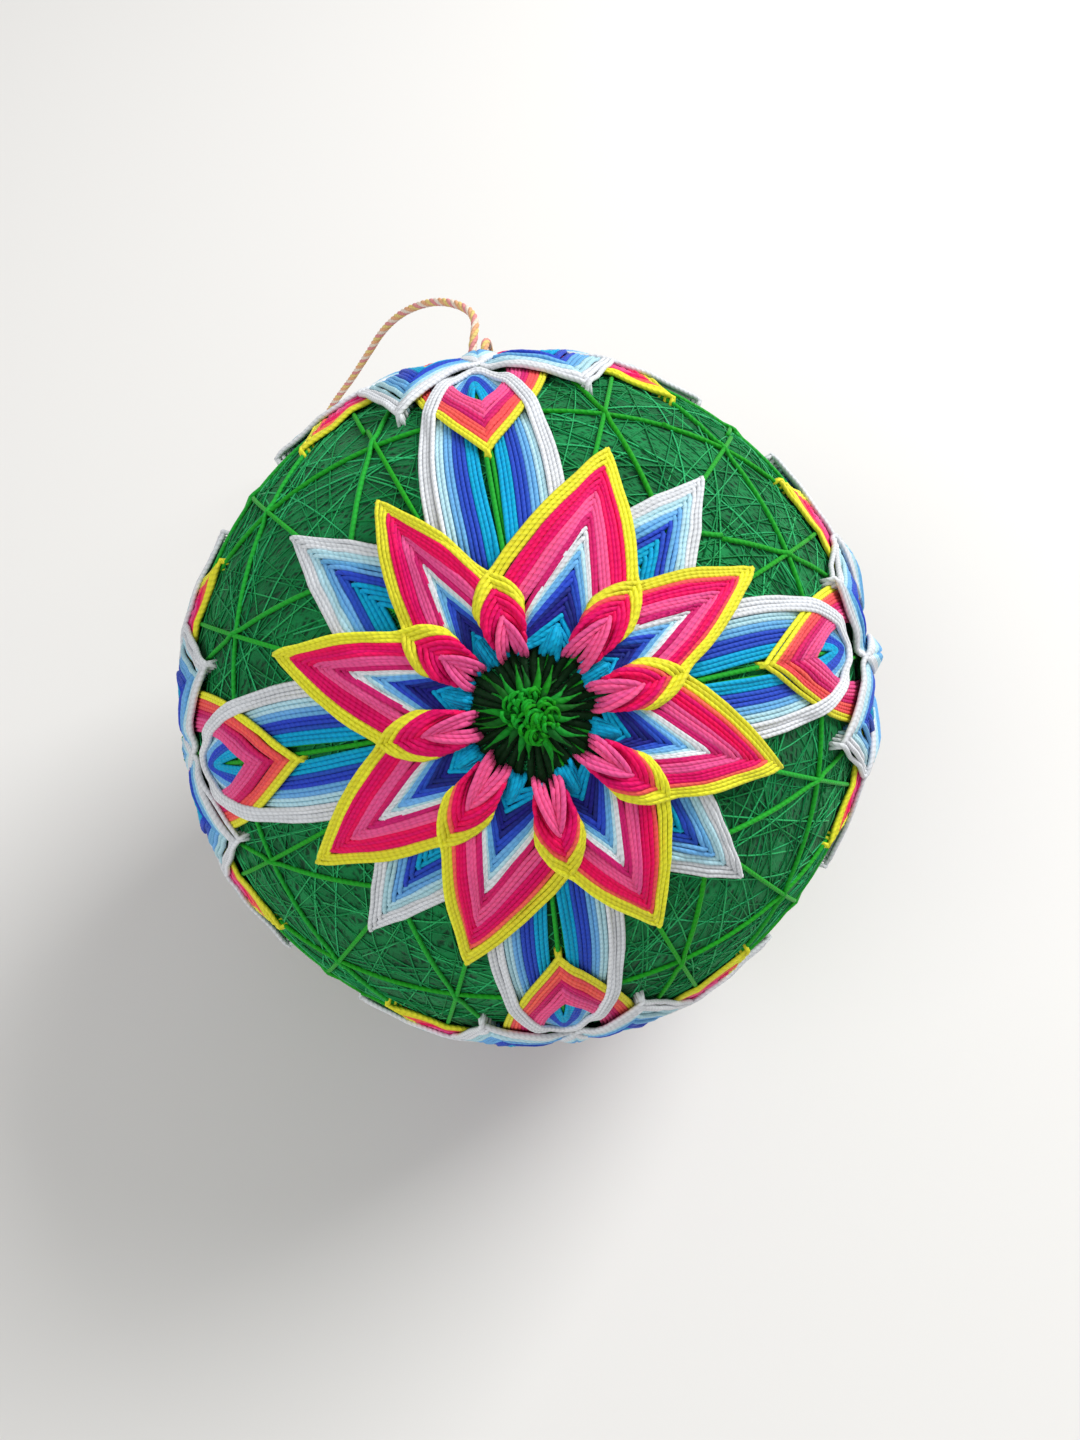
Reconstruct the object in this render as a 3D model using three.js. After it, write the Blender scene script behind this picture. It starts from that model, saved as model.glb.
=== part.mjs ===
// A temari ball: a thread wrapped ball with embroidered flowers at the six poles of its division,
// resting on a small flat spot, with a twisted cord loop sewn in at the pole that points back and up.
// Units are millimetres, +Z is up, the surface the ball rests on is z = 0 and the front is towards -Y.

import * as THREE from 'three';
import { mergeVertices } from 'three/addons/utils/BufferGeometryUtils.js';

// Driving dimensions
const ballRadius = 44;        // of the wound ball under the embroidery
const restHeight = 44.35;     // of the ball's centre above the surface
const pressDepth = 1.85;      // from the ball's own flat spot down to the surface

// How the front flower faces: up towards the viewer, swung a little right, and rolled about itself
const frontRise = 59.26;
const frontSwing = 2.52;
const frontRoll = -6.14;

// Heights above the wound ball, in mm
const petalSeat = 0.42;       // under a flower's petals
const underlaySeat = 0.5;     // under the wider pieces, whose flat facets dip between their corners
const underlayTop = 1.0;
const overlap = 0.45;         // clearance of a piece that lies over another
const petalTop = 1.15;
const ridgeRise = 0.25;       // of the crossed thread along a petal's middle
const layerTop = 2.1;         // of a top flower where it covers its underlay
const pileTop = 2.8;          // of the thread piled up between two petals
const chevronTop = 1.85;
const knotTop = 1.7;
const knotEdge = 0.7;

// Outlines on the sphere: distances from a flower's middle, and half widths, in degrees
const flowerHole = 6.8;
const knotReach = 6.1;
const flowerTip = 37;
const flowerValley = 20.5;
const sector = 45;            // one of eight petals
const hubReach = 19;          // the underlay's disc, hidden by the flower
const neckHalf = 1.0;         // half width of an underlay petal where a flower's valley covers it
const neckEnd = 22.9;
const sideClear = 0.7;        // between an underlay petal and the flower petals beside it
const liftStart = 25;         // a flower comes down from its underlay to the ball between these
const liftEnd = 28.5;
const pileRise = 10;          // the thread piled between two petals is at its full height from here
const pileFall = 14;          // to here
const ridgeFull = 34;         // where the ridge along a petal has its full height
const rimFrom = 0.88;         // a petal's edge rounds off over the last part of its reach
const rimDrop = 0.2;          // by this many mm
const petalSpread = 0.92;     // power of a petal's outline, under 1 for slightly hollow sides in plan
const sideDrop = 0.15;        // of an underlay petal's edges, in mm
const chevronTip = 35;
const chevronSlope = 0.45;    // growth of a chevron's half width with the distance from its tip
const ovalRim = 1.3;          // width of the oval's rim outside a chevron
const ovalBend = 34;          // where an oval is at its widest
const notchShare = 0.66;      // reach of a centre star between its spikes

const degrees = Math.PI / 180;
const smooth = (from, to, x) => THREE.MathUtils.smoothstep(x, from, to);

const colours = {
  wrap: 0x1f7a3c,
  pink: 0xd8336b,
  yellow: 0xf2e23c,
  white: 0xe8edf2,
  blue: 0x2f6fc4,
  knot: 0x1fa32f,
  cord: 0xe6b48a,
};

function thread(colour) {
  return new THREE.MeshStandardMaterial({ color: colour, roughness: 0.75, metalness: 0 });
}

// The division's own axes in the part's frame

const front = new THREE.Vector3(
  Math.sin(frontSwing * degrees) * Math.cos(frontRise * degrees),
  -Math.cos(frontSwing * degrees) * Math.cos(frontRise * degrees),
  Math.sin(frontRise * degrees),
);
const levelTop = new THREE.Vector3(0, 0, 1).addScaledVector(front, -front.z).normalize();
const levelRight = new THREE.Vector3().crossVectors(levelTop, front);
const top = levelTop.clone().multiplyScalar(Math.cos(frontRoll * degrees))
  .addScaledVector(levelRight, Math.sin(frontRoll * degrees));
const right = new THREE.Vector3().crossVectors(top, front);
const back = front.clone().negate();
const low = top.clone().negate();
const left = right.clone().negate();

// A pole has its own direction, and the directions of its azimuths 0 and 90
function pole(direction, towards) {
  return { direction, towards, aside: new THREE.Vector3().crossVectors(direction, towards) };
}

function directionAt(at, distance, azimuth) {
  const reach = Math.sin(distance * degrees);
  return at.direction.clone().multiplyScalar(Math.cos(distance * degrees))
    .addScaledVector(at.towards, reach * Math.cos(azimuth * degrees))
    .addScaledVector(at.aside, reach * Math.sin(azimuth * degrees));
}

// A point at a height over the wound ball. Under the ball it is pressed flat: no lower than the
// surface, and the lower side of a piece keeps its height under the ball's own flat spot.
function pointAt(direction, height, isTop) {
  const radius = ballRadius + height;
  const floor = isTop ? 0 : Math.max(0, pressDepth - height);
  const z = restHeight + radius * direction.z;
  const pressed = z < floor ? (restHeight - floor) / -direction.z : radius;
  return direction.clone().multiplyScalar(pressed);
}

// A closed shell over the patch that the cells cover. A corner has distance, azimuth, low and high,
// and clear where the piece doesn't come down to the surface under the ball.
function shellOn(at, cells) {
  const corners = [];
  const indexOf = new Map();
  const triangles = [];
  const add = (corner) => {
    const direction = directionAt(at, corner.distance, corner.azimuth);
    const key = direction.toArray().map((value) => Math.round(value * 1e5)).join();
    if (!indexOf.has(key)) {
      indexOf.set(key, corners.length);
      corners.push({ direction, low: corner.low, high: corner.high, rests: !corner.clear });
    }
    return indexOf.get(key);
  };
  const addTriangle = (a, b, c) => {
    if (a === b || b === c || a === c) return;
    const [p, q, r] = [a, b, c].map((index) => corners[index].direction);
    const normal = new THREE.Vector3().crossVectors(q.clone().sub(p), r.clone().sub(p));
    triangles.push(normal.dot(p) > 0 ? [a, b, c] : [a, c, b]);
  };
  for (const [a, b, c, d] of cells.map((cell) => cell.map(add))) {
    addTriangle(a, b, c);
    addTriangle(a, c, d);
  }

  const positions = [];
  for (const { direction, high, rests } of corners) positions.push(...pointAt(direction, high, rests));
  for (const { direction, low: bottom } of corners) positions.push(...pointAt(direction, bottom, false));
  const count = corners.length;
  const faces = [];
  const edges = new Set(triangles.flatMap(([a, b, c]) => [`${a} ${b}`, `${b} ${c}`, `${c} ${a}`]));
  for (const [a, b, c] of triangles) {
    faces.push(a, b, c, c + count, b + count, a + count);
    for (const [from, to] of [[a, b], [b, c], [c, a]]) {
      if (edges.has(`${to} ${from}`)) continue;
      faces.push(to, from, from + count, to, from + count, to + count);
    }
  }
  const geometry = new THREE.BufferGeometry();
  geometry.setAttribute('position', new THREE.Float32BufferAttribute(positions, 3));
  geometry.setIndex(faces);
  return geometry;
}

// Cells of a grid of corners, given as rows
function cellsOf(rows) {
  const cells = [];
  for (let i = 0; i + 1 < rows.length; i += 1) {
    for (let j = 0; j + 1 < rows[i].length; j += 1) {
      cells.push([rows[i][j], rows[i][j + 1], rows[i + 1][j + 1], rows[i + 1][j]]);
    }
  }
  return cells;
}

// Top layer flowers

// How far a flower reaches at an angle away from a petal's middle
function flowerReach(away) {
  return flowerTip - (flowerTip - flowerValley) * (Math.abs(away) / (sector / 2)) ** petalSpread;
}

function awayFromPetal(azimuth) {
  return azimuth % sector - sector / 2;
}

function flowerCorner(distance, azimuth) {
  const away = awayFromPetal(azimuth);
  const between = (Math.abs(away) / (sector / 2)) ** 2;
  const lift = 1 - smooth(liftStart, liftEnd, distance);
  const low = petalSeat + lift * (underlayTop + overlap - petalSeat);
  const inPile = smooth(flowerHole, pileRise, distance) * (1 - smooth(pileFall, flowerValley + 1, distance));
  const pile = inPile * between * (pileTop - layerTop);
  const rim = rimDrop * smooth(rimFrom, 1, distance / flowerReach(away));
  const ridge = ridgeRise * (1 - between) * smooth(liftEnd, ridgeFull, distance);
  const flat = petalTop + lift * (layerTop - petalTop);
  return { distance, azimuth, low, high: flat + ridge + pile - rim };
}

function flower(at) {
  const steps = 48;
  const shares = [0, 0.25, 0.52, 0.82, 1];
  const rows = shares.map((share) => {
    const row = [];
    for (let step = 0; step <= steps; step += 1) {
      const azimuth = (step % steps) * (360 / steps);
      const reach = flowerReach(awayFromPetal(azimuth));
      row.push(flowerCorner(flowerHole + share * (reach - flowerHole), azimuth));
    }
    return row;
  });
  return shellOn(at, cellsOf(rows));
}

// Underlays: a hub under the flower, and petals that leave it under the flower's valleys

// Half the room between two flower petals, seen from the valley
function roomBeside(distance) {
  let away = sector / 2;
  while (away > 0 && flowerReach(away) < distance) away -= 0.1;
  return (sector / 2 - away) * Math.sin(distance * degrees);
}

// Half width of an underlay petal towards its end: a straight point, or the oval's round end
const pointedEnd = (kind, distance) => 0.62 * (kind.tip - distance);
const roundEnd = (kind, distance) => {
  const along = Math.max(0, (distance - ovalBend) / (kind.tip - ovalBend));
  return kind.width * (1 - along ** 2.2) ** 0.62;
};

// Each kind of underlay petal: where it ends, its widest half width, its end, and its rows and columns
const petalKinds = {
  short: { tip: 43, width: 9, end: pointedEnd, rows: [hubReach, neckEnd, 26, 29.5, 33, 38, 43], columns: 2 },
  side: { tip: 40, width: 9, end: pointedEnd, rows: [hubReach, neckEnd, 26, 29.5, 34, 40], columns: 2 },
  oval: {
    tip: 64,
    width: 9.9,
    end: roundEnd,
    rows: [hubReach, neckEnd, 25.5, 28.5, 32, 38, 45, 51, 56, 60, 62.6, 64],
    columns: 4,
  },
};

function petalHalf(kind, distance) {
  if (distance <= neckEnd) return neckHalf;
  const open = roomBeside(distance) - sideClear;
  return Math.max(0, Math.min(kind.width, open, kind.end(kind, distance)));
}

function petalRow(kind, distance, axis) {
  const half = petalHalf(kind, distance) / Math.sin(distance * degrees);
  const row = [];
  for (let column = 0; column <= kind.columns; column += 1) {
    const side = (2 * column) / kind.columns - 1;
    const high = underlayTop - sideDrop * Math.abs(side) ** 3;
    row.push({ distance, azimuth: axis + side * half, low: underlaySeat, high, clear: true });
  }
  return row;
}

function underlay(at, kindOf) {
  const cells = [];
  const hubEdge = [];
  const addToHub = (azimuth) => {
    hubEdge.push({ distance: hubReach, azimuth, low: underlaySeat, high: underlayTop, clear: true });
  };
  for (let index = 0; index < 8; index += 1) {
    const axis = index * sector;
    const kind = petalKinds[kindOf(index)];
    if (kind) {
      const rows = kind.rows.map((distance) => petalRow(kind, distance, axis));
      cells.push(...cellsOf(rows));
      hubEdge.push(...rows[0]);
    } else {
      addToHub(axis - sector / 6);
      addToHub(axis + sector / 6);
    }
    addToHub(axis + sector / 3);
    addToHub(axis + (2 * sector) / 3);
  }
  hubEdge.push(hubEdge[0]);
  const hubHole = hubEdge.map((corner) => ({ ...corner, distance: flowerHole }));
  cells.push(...cellsOf([hubHole, hubEdge]));
  return shellOn(at, cells);
}

// Chevrons: arrow heads on the outer halves of the ovals, pointing at the front or back flower

function chevron(at, axis) {
  const rows = [chevronTip, 38, 42, 46, 50, 54, 58, 60.5].map((distance) => {
    const arms = chevronSlope * (distance - chevronTip);
    const inside = petalHalf(petalKinds.oval, distance) - ovalRim;
    const half = Math.max(0, Math.min(arms, inside)) / Math.sin(distance * degrees);
    return [-1, 0, 1].map((side) => ({
      distance,
      azimuth: axis + side * half,
      low: underlayTop + overlap,
      high: side === 0 ? chevronTop : chevronTop - 0.1,
    }));
  });
  return shellOn(at, cellsOf(rows));
}

// Centre stars: knotted stitches with spikes between the ends of the petals' threads

function centreStar(at) {
  const spikes = 12;
  const rows = [0, 0.45, 1].map((share) => {
    const row = [];
    for (let step = 0; step <= 2 * spikes; step += 1) {
      const isSpike = step % 2 === 0;
      const distance = share * (isSpike ? knotReach : notchShare * knotReach);
      const azimuth = (step % (2 * spikes)) * (180 / spikes);
      const high = knotTop + (knotEdge - knotTop) * share ** 1.5;
      row.push({ distance, azimuth, low: petalSeat, high });
    }
    return row;
  });
  return shellOn(at, cellsOf(rows));
}

// The wound ball, with its flat spot pressed in behind the embroidery that rests on the surface

function woundBall() {
  const detail = 9;
  const geometry = new THREE.IcosahedronGeometry(1, detail);
  geometry.deleteAttribute('normal');
  geometry.deleteAttribute('uv');
  const ball = mergeVertices(geometry);
  const position = ball.getAttribute('position');
  for (let index = 0; index < position.count; index += 1) {
    const direction = new THREE.Vector3().fromBufferAttribute(position, index).normalize();
    position.setXYZ(index, ...pointAt(direction, 0, false));
  }
  return ball;
}

// The hanging loop: out of the middle of the top flower, over to the left, down behind the ball,
// back along the surface and up to the same place

const loopDiameter = 1.2;
const loopRoute = [
  [-7.45, 39.2, 67.8], [-7.4, 41.2, 68.8], [-7.2, 43.5, 69.3], [-7.2, 46.0, 69.1], [-7.9, 48.8, 68.3],
  [-9.4, 51.8, 66.9], [-11.4, 54.8, 65.1], [-13.9, 57.8, 62.8], [-16.6, 60.4, 60.1], [-19.4, 62.7, 57.0],
  [-22.1, 64.9, 53.3], [-24.7, 67.0, 49.0], [-27.2, 69.2, 44.0], [-29.9, 71.4, 38.7], [-32.7, 73.6, 33.3],
  [-35.7, 76.0, 27.8], [-38.9, 78.4, 21.9], [-42.0, 80.6, 15.7], [-44.7, 82.2, 9.6], [-46.4, 82.5, 4.7],
  [-46.6, 81.0, 1.7], [-44.8, 78.6, 0.7], [-41.0, 76.9, 0.65], [-36.0, 76.6, 0.65], [-30.5, 76.7, 0.65],
  [-25.0, 76.2, 0.65], [-20.0, 74.8, 0.7], [-15.6, 72.6, 1.4], [-12.0, 69.7, 3.8], [-9.5, 66.5, 8.6],
  [-7.8, 63.4, 15.2], [-6.8, 60.3, 23.0], [-6.1, 57.2, 31.5], [-5.7, 54.2, 40.5], [-5.5, 51.4, 49.5],
  [-5.4, 48.9, 57.5], [-5.5, 46.6, 63.7], [-5.6, 44.3, 67.2], [-5.75, 41.6, 68.7], [-5.85, 39.4, 67.95],
];

function hangingLoop() {
  const points = loopRoute.map((point) => new THREE.Vector3(...point));
  const path = new THREE.CatmullRomCurve3(points, false, 'centripetal');
  const sides = 8;
  const section = new THREE.Shape();
  for (let side = 0; side < sides; side += 1) {
    const angle = (2 * Math.PI * side) / sides;
    const x = (loopDiameter / 2) * Math.cos(angle);
    const y = (loopDiameter / 2) * Math.sin(angle);
    if (side === 0) section.moveTo(x, y);
    else section.lineTo(x, y);
  }
  section.closePath();
  return new THREE.ExtrudeGeometry(section, { steps: 72, extrudePath: path, bevelEnabled: false });
}

// Assembly

const part = new THREE.Group();
const ball = new THREE.Group();
ball.position.set(0, 0, restHeight);
part.add(ball);

function addMesh(parent, name, geometry, material) {
  const mesh = new THREE.Mesh(geometry, material);
  mesh.name = name;
  parent.add(mesh);
}

const pinkPoles = {
  front: pole(front, top),
  back: pole(back, top),
};
const bluePoles = {
  top: pole(top, front),
  right: pole(right, front),
  low: pole(low, front),
  left: pole(left, front),
};

addMesh(ball, 'wound_ball', woundBall(), thread(colours.wrap));
for (const [name, at] of Object.entries(pinkPoles)) {
  addMesh(ball, `flower_${name}`, flower(at), thread(colours.pink));
  addMesh(ball, `centre_${name}`, centreStar(at), thread(colours.knot));
  const kindOf = (index) => (index % 2 ? 'short' : 'oval');
  addMesh(ball, `underlay_${name}`, underlay(at, kindOf), thread(colours.white));
  for (let index = 0; index < 4; index += 1) {
    addMesh(ball, `chevron_${name}_${index + 1}`, chevron(at, 2 * index * sector), thread(colours.yellow));
  }
}
for (const [name, at] of Object.entries(bluePoles)) {
  const kindOf = (index) => (index % 4 === 0 ? 'none' : 'side');
  addMesh(ball, `flower_${name}`, flower(at), thread(colours.blue));
  addMesh(ball, `centre_${name}`, centreStar(at), thread(colours.knot));
  addMesh(ball, `underlay_${name}`, underlay(at, kindOf), thread(colours.pink));
}
addMesh(part, 'hanging_loop', hangingLoop(), thread(colours.cord));

export default part;
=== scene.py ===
# The looks of the temari ball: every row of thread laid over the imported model, its wound ball,
# guide threads, knotted centres and twisted loop. Lengths are in millimetres until a mesh is built
# in metres. Angles, and distances on a pole's map, are in degrees.

import math

import bmesh
import bpy
import numpy as np
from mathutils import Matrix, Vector


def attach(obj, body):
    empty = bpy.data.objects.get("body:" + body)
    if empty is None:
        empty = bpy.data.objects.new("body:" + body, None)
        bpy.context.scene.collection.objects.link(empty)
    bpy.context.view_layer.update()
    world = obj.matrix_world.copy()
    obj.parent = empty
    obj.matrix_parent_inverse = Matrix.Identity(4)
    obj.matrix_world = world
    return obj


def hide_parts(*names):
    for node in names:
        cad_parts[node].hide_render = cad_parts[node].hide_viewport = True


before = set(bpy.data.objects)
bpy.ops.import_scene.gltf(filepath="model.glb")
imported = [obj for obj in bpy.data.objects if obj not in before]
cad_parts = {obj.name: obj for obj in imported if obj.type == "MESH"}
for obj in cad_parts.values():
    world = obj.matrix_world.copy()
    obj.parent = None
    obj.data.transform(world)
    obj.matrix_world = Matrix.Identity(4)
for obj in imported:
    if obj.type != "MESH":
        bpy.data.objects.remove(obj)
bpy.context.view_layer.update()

MM = 0.001
BALL = 44.0            # radius of the wound ball
REST = 44.35           # height of its centre over the floor
PRESS = 1.85           # from the ball's own flat spot to the floor
THREAD = 0.28          # radius of a thread of the embroidery
rng = np.random.default_rng(20)

# Camera, from the photo's own viewpoint

camera_data = bpy.data.cameras.new("camera")
camera_data.lens = 24.625
camera_data.sensor_width = 36
camera_data.clip_start = 0.005
camera_data.clip_end = 20
camera = bpy.data.objects.new("camera", camera_data)
camera.location = (0.0018, -0.0663, 0.16404)
camera.rotation_euler = (math.radians(27.8), 0, 0)
bpy.context.scene.collection.objects.link(camera)
bpy.context.scene.camera = camera


# Small helpers

def unit(v):
    return v / np.maximum(np.linalg.norm(v, axis=-1, keepdims=True), 1e-9)


def smooth(a, b, x):
    """0 up to a, 1 from b on, and an even slope between them."""
    t = np.clip((np.asarray(x, float) - a) / (b - a), 0, 1)
    return t * t * (3 - 2 * t)


def distances(points):
    """How far along its line each point lies."""
    return np.r_[0, np.cumsum(np.linalg.norm(np.diff(points, axis=0), axis=1))]


def curve(keys, step):
    """Points a step apart along a smooth curve through the keys."""
    k = np.asarray(keys, float)
    seg = np.maximum(np.linalg.norm(np.diff(k, axis=0), axis=1), 1e-6)
    t = np.r_[0, np.cumsum(seg)]
    slope = np.diff(k, axis=0) / seg[:, None]
    m = np.empty_like(k)
    m[0], m[-1] = slope[0], slope[-1]
    both = (seg[:-1] + seg[1:])[:, None]
    m[1:-1] = (slope[:-1] * seg[1:, None] + slope[1:] * seg[:-1, None]) / both
    s = np.linspace(0, t[-1], max(int(math.ceil(t[-1] / step)), 2) + 1)
    i = np.clip(np.searchsorted(t, s, side="right") - 1, 0, len(seg) - 1)
    w = ((s - t[i]) / seg[i])[:, None]
    h = seg[i][:, None]
    return ((2 * w**3 - 3 * w**2 + 1) * k[i] + (w**3 - 2 * w**2 + w) * h * m[i]
            + (3 * w**2 - 2 * w**3) * k[i + 1] + (w**3 - w**2) * h * m[i + 1])


def thin(points, tolerance):
    """Indices of the points that keep a line within the tolerance."""
    keep = {0, len(points) - 1}
    todo = [(0, len(points) - 1)]
    while todo:
        a, b = todo.pop()
        if b - a < 2:
            continue
        line = unit(points[b] - points[a])
        rel = points[a + 1:b] - points[a]
        off = np.linalg.norm(rel - (rel @ line)[:, None] * line, axis=1)
        i = int(off.argmax())
        if off[i] > tolerance:
            keep.add(a + 1 + i)
            todo += [(a, a + 1 + i), (a + 1 + i, b)]
    return np.array(sorted(keep))


def jitter(size):
    return rng.normal(0, size)


# The division's axes, as the model has them

TILT, SWING, ROLL = np.radians([59.26, 2.52, -6.14])
FRONT = np.array([math.sin(SWING) * math.cos(TILT), -math.cos(SWING) * math.cos(TILT),
                  math.sin(TILT)])
level_top = unit(np.array([0, 0, 1.0]) - FRONT * FRONT[2])
level_right = np.cross(level_top, FRONT)
TOP = math.cos(ROLL) * level_top + math.sin(ROLL) * level_right
RIGHT = np.cross(TOP, FRONT)


class Pole:
    """A pole of the division, with the directions of its azimuths 0 and 90."""

    def __init__(self, direction, towards):
        self.direction, self.towards = direction, towards
        self.aside = np.cross(direction, towards)

    def at(self, plane):
        """Directions of points given in degrees on the pole's own flat map."""
        p = np.asarray(plane, float)
        reach = np.radians(np.hypot(p[:, 0], p[:, 1]))[:, None]
        turn = np.arctan2(p[:, 1], p[:, 0])[:, None]
        flat = np.cos(turn) * self.towards + np.sin(turn) * self.aside
        return np.cos(reach) * self.direction + np.sin(reach) * flat


POLES = {
    "front": Pole(FRONT, TOP),
    "back": Pole(-FRONT, TOP),
    "top": Pole(TOP, FRONT),
    "right": Pole(RIGHT, FRONT),
    "low": Pole(-TOP, FRONT),
    "left": Pole(-RIGHT, FRONT),
}
PINK_POLES = ("front", "back")
BLUE_POLES = ("top", "right", "low", "left")


def polar(distance, azimuth):
    a = math.radians(azimuth)
    return np.array([distance * math.cos(a), distance * math.sin(a)])


def turned(points, azimuth):
    """Points given as (along, aside) of an axis at that azimuth."""
    a = math.radians(azimuth)
    p = np.asarray(points, float)
    return np.c_[p[:, 0] * math.cos(a) - p[:, 1] * math.sin(a),
                 p[:, 0] * math.sin(a) + p[:, 1] * math.cos(a)]


def place(directions, heights, radius):
    """Points at heights over the wound ball, pressed flat where the ball rests."""
    kept = 0.8             # share of its height that a thread keeps where it is pressed
    least = 0.2            # no direction counts as less steep than this
    r = BALL + heights
    floor = np.maximum(radius, PRESS - kept * heights)
    low = REST + r * directions[:, 2] < floor
    r = np.where(low, (REST - floor) / np.maximum(-directions[:, 2], least), r)
    return directions * r[:, None] + np.array([0, 0, REST])


# How high the thread already lies, all round the ball

class Relief:
    """Heights in square cells on the six faces of a cube round the ball."""

    WINDING = 0.2          # height of the winding itself
    FINE = 0.09            # from one kept height of a thread to the next
    # As shares of a thread's radius: where it feels what is under it, where its own height is
    # kept, and how far it gives way to the next thread
    UNDER = np.array([-0.55, -0.25, 0, 0.25, 0.55])
    ACROSS = np.linspace(-0.96, 0.96, 7)
    SQUASH = 0.12

    def __init__(self, cells):
        self.cells = cells
        self.height = np.full(6 * cells * cells, self.WINDING, np.float32)
        self.ground = self.height

    def settle(self):
        """What lies there now is the ground of the part that comes next."""
        self.ground = self.height.copy()

    def index(self, d):
        """The cell of each direction."""
        axis = np.abs(d).argmax(-1)[..., None]
        major = np.take_along_axis(d, axis, -1)[..., 0]
        n = self.cells
        u, v = (
            np.clip(((np.arctan(np.take_along_axis(d, (axis + k) % 3, -1)[..., 0] / np.abs(major))
                      * (4 / math.pi) + 1) * (n / 2)).astype(np.int64), 0, n - 1)
            for k in (1, 2)
        )
        return ((2 * axis[..., 0] + (major < 0)) * n + u) * n + v

    def under(self, d, radius, ground=False):
        """The highest thread under a thread, or the highest ground under it."""
        side = unit(np.cross(d, np.gradient(d, axis=0)))
        across = self.UNDER * radius / BALL
        lying = self.ground if ground else self.height
        return lying[self.index(d[:, None] + side[:, None] * across[None, :, None])].max(1)

    def add(self, d, h, radius):
        """Keeps the height of a thread that has been laid."""
        length = np.linalg.norm(np.diff(d, axis=0), axis=1).sum() * BALL
        t = np.linspace(0, len(d) - 1.001, max(int(length / self.FINE), 2))
        i = t.astype(int)
        w = (t - i)[:, None]
        dd = d[i] * (1 - w) + d[i + 1] * w
        hh = h[i] * (1 - w[:, 0]) + h[i + 1] * w[:, 0]
        side = unit(np.cross(dd, np.gradient(dd, axis=0)))
        top = hh[:, None] + radius * (np.sqrt(1 - self.ACROSS**2) - self.SQUASH)
        cells = self.index(
            dd[:, None] + side[:, None] * (self.ACROSS * radius / BALL)[None, :, None])
        np.maximum.at(self.height, cells.ravel(), top.astype(np.float32).ravel())

    def raise_round(self, pole, inner, outer, height):
        """A pad of the thread hidden under a flower, with soft edges."""
        rising, falling = 1.5, 4
        n = self.cells
        c = np.tan(((np.arange(n) + 0.5) / n * 2 - 1) * math.pi / 4)
        for face in range(6):
            axis, sign = face // 2, -1.0 if face % 2 else 1.0
            d = np.empty((n, n, 3))
            d[..., axis] = sign
            d[..., (axis + 1) % 3] = c[:, None]
            d[..., (axis + 2) % 3] = c[None, :]
            away = np.degrees(np.arccos(np.clip(unit(d) @ pole.direction, -1, 1)))
            pad = (height * smooth(inner - rising, inner, away)
                   * (1 - smooth(outer, outer + falling, away)))
            part = self.height[face * n * n:(face + 1) * n * n]
            np.maximum(part, pad.astype(np.float32).ravel(), out=part)


relief = Relief(560)


# Meshes made of many tubes

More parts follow.
